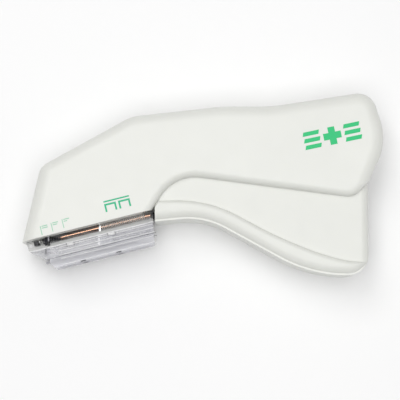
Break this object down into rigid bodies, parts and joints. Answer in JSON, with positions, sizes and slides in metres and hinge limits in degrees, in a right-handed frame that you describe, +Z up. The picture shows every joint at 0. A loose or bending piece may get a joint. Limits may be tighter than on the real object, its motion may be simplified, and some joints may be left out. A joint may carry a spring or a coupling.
{
  "type": "skin stapler",
  "caption": "Disposable skin stapler lying on its side: white clamshell casing, squeeze trigger and a clear slanted cartridge of wide staples with a driven former.",
  "frame": {"origin": "under the middle of the bounding box, on the plane of the side face that it lies on", "axes": "+X from the nose to the pommel, +Y from the trigger to the top ridge, +Z up through the thickness from the side it lies on"},
  "size_m": [0.153, 0.0776, 0.028],
  "materials": {
    "white_abs": "satin",
    "grey_nylon": "satin",
    "clear_grey": "frosted",
    "bright_steel": "polished",
    "spring_steel": "drawn",
    "black_steel": "black oxide",
    "copper": "drawn",
    "soft_pad": "matte"
  },
  "bodies": {
    "casing": {"upper_shell": "white_abs", "lower_shell": "white_abs", "stop_pad": "soft_pad", "pivot_pin": "bright_steel", "return_spring": "spring_steel", "cartridge_body": "clear_grey", "cartridge_cover": "clear_grey", "anvil": "bright_steel", "nose_guide": "black_steel", "feed_gate": "black_steel", "guide_rod": "copper", "staples": "bright_steel", "end_plug": "clear_grey", "pusher_spring": "spring_steel"},
    "trigger_unit": {"trigger": "white_abs", "drive_lever": "grey_nylon", "lever_pin": "bright_steel", "drive_pin": "bright_steel"},
    "ram": {"ram_carrier": "grey_nylon", "former_blade": "bright_steel", "blade_rivets": "bright_steel"},
    "pusher_unit": {"pusher": "grey_nylon", "pusher_plate": "bright_steel"}
  },
  "joints": [
    {"name": "trigger_squeeze", "type": "hinge", "parent": "casing", "child": "trigger_unit", "pos_m": [-0.01968, -0.00177, 0.014], "axis": [0, 0, 1], "range_deg": [0, 18], "stiffness_Nm_per_rad": 1, "springref_deg": -11.46, "deforming": ["return_spring"]},
    {"name": "ram_slide", "type": "slide", "parent": "casing", "child": "ram", "axis": [0, -1, 0], "range_m": [0, 0.012]},
    {"name": "pusher_slide", "type": "slide", "parent": "casing", "child": "pusher_unit", "axis": [0.9701, 0.2425, 0], "range_m": [0, 0.002], "stiffness_N_per_m": 300, "springref_m": -0.01, "deforming": ["pusher_spring"]}
  ],
  "couplings": [
    {"joint": "ram_slide", "follows": "trigger_squeeze", "m_per_rad": 0.0375}
  ]
}
